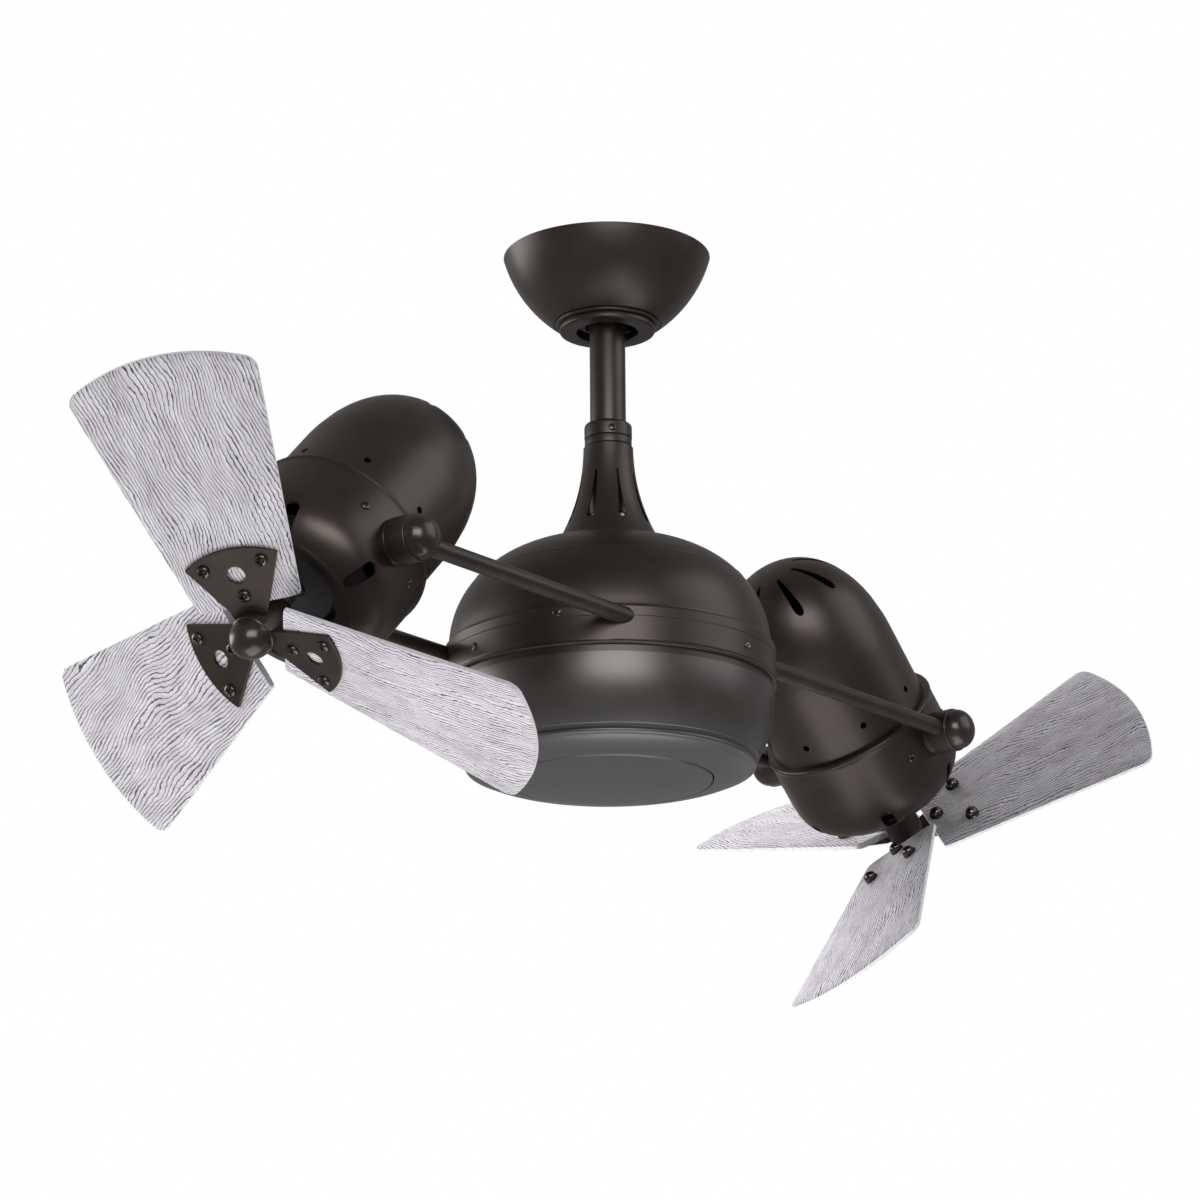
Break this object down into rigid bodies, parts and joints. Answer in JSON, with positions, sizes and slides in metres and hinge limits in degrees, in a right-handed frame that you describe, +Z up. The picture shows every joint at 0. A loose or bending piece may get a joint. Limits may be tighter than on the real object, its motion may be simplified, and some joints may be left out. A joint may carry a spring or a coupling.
{
  "type": "twin head ceiling fan",
  "caption": "Ceiling fan with a domed canopy, short downrod and turning centre housing; rods carry a tilting motor head with a wooden-bladed rotor at each end.",
  "frame": {"origin": "on the fan's upright axis, in the plane of the ceiling, at the centre of the bracket's two screw slots", "axes": "+Z up into the ceiling; X along the rods, from the left head to the right head; -Y is the side of the front rod"},
  "size_m": [1.0272, 0.3909, 0.5318],
  "materials": {
    "bronze": "satin, dark bronze",
    "bowl_bronze": "satin, greyer dark bronze",
    "cap_bronze": "semi-gloss, dark bronze",
    "screw_bronze": "semi-gloss, dark bronze",
    "nut_black": "gloss, near black",
    "barnwood": "matt, pale grey with fine engraved grain",
    "zinc": "satin, zinc plated",
    "steel": "turned steel",
    "cast_alloy": "black enamel over the casting",
    "brass": "satin",
    "black_plastic": "moulded"
  },
  "bodies": {
    "ceiling_mount": {"ceiling_bracket": "zinc", "canopy": "bronze", "canopy_trim_ring": "bronze", "canopy_screws": "zinc"},
    "hanger": {"hanger_ball": "black_plastic", "downrod": "bronze", "downrod_pin": "zinc", "rod_collar": "bronze", "collar_screw": "screw_bronze", "yoke": "zinc", "yoke_pin": "zinc", "yoke_cover": "bronze", "spindle": "steel", "spindle_nut": "zinc", "brush_block": "black_plastic"},
    "carrier": {"upper_housing": "bronze", "lower_housing": "bronze", "housing_screws": "screw_bronze", "carrier_frame": "steel", "main_bearings": "steel", "slip_ring": "brass", "front_rod": "bronze", "back_rod": "bronze", "lower_bowl": "bowl_bronze", "bottom_plate": "bowl_bronze", "left_knuckles": "bronze", "right_knuckles": "bronze", "knuckle_caps": "cap_bronze"},
    "left_head": {"left_rear_cover": "bronze", "left_front_bowl": "bronze", "left_bowl_screws": "screw_bronze", "left_motor_casing": "cast_alloy", "left_motor_bearings": "zinc", "left_trunnion_pins": "steel"},
    "right_head": {"right_rear_cover": "bronze", "right_front_bowl": "bronze", "right_bowl_screws": "screw_bronze", "right_motor_casing": "cast_alloy", "right_motor_bearings": "zinc", "right_trunnion_pins": "steel"},
    "left_rotor": {"left_motor_rotor": "steel", "left_blade_hub": "bronze", "left_hub_cap": "cap_bronze", "left_blade_1": "barnwood", "left_blade_2": "barnwood", "left_blade_3": "barnwood", "left_blade_brackets": "bronze", "left_blade_screws": "screw_bronze", "left_blade_nuts": "nut_black"},
    "right_rotor": {"right_motor_rotor": "steel", "right_blade_hub": "bronze", "right_hub_cap": "cap_bronze", "right_blade_1": "barnwood", "right_blade_2": "barnwood", "right_blade_3": "barnwood", "right_blade_brackets": "bronze", "right_blade_screws": "screw_bronze", "right_blade_nuts": "nut_black"}
  },
  "joints": [
    {"name": "hanger_swing", "type": "hinge", "parent": "ceiling_mount", "child": "hanger", "pos_m": [0, 0, -0.028], "axis": [1, 0, 0], "range_deg": [-15, 15]},
    {"name": "carrier_spin", "type": "hinge", "parent": "hanger", "child": "carrier", "pos_m": [0, 0, -0.315], "axis": [0, 0, 1], "continuous": true},
    {"name": "left_tilt", "type": "hinge", "parent": "carrier", "child": "left_head", "pos_m": [-0.3213, 0, -0.315], "axis": [0, -1, 0], "range_deg": [-136, 44]},
    {"name": "right_tilt", "type": "hinge", "parent": "carrier", "child": "right_head", "pos_m": [0.3213, 0, -0.315], "axis": [0, 1, 0], "range_deg": [-134, 46]},
    {"name": "left_rotor_spin", "type": "hinge", "parent": "left_head", "child": "left_rotor", "pos_m": [-0.3213, 0, -0.315], "axis": [-0.6947, 0, -0.7193], "continuous": true},
    {"name": "right_rotor_spin", "type": "hinge", "parent": "right_head", "child": "right_rotor", "pos_m": [0.3213, 0, -0.315], "axis": [0.7193, 0, -0.6947], "continuous": true}
  ]
}
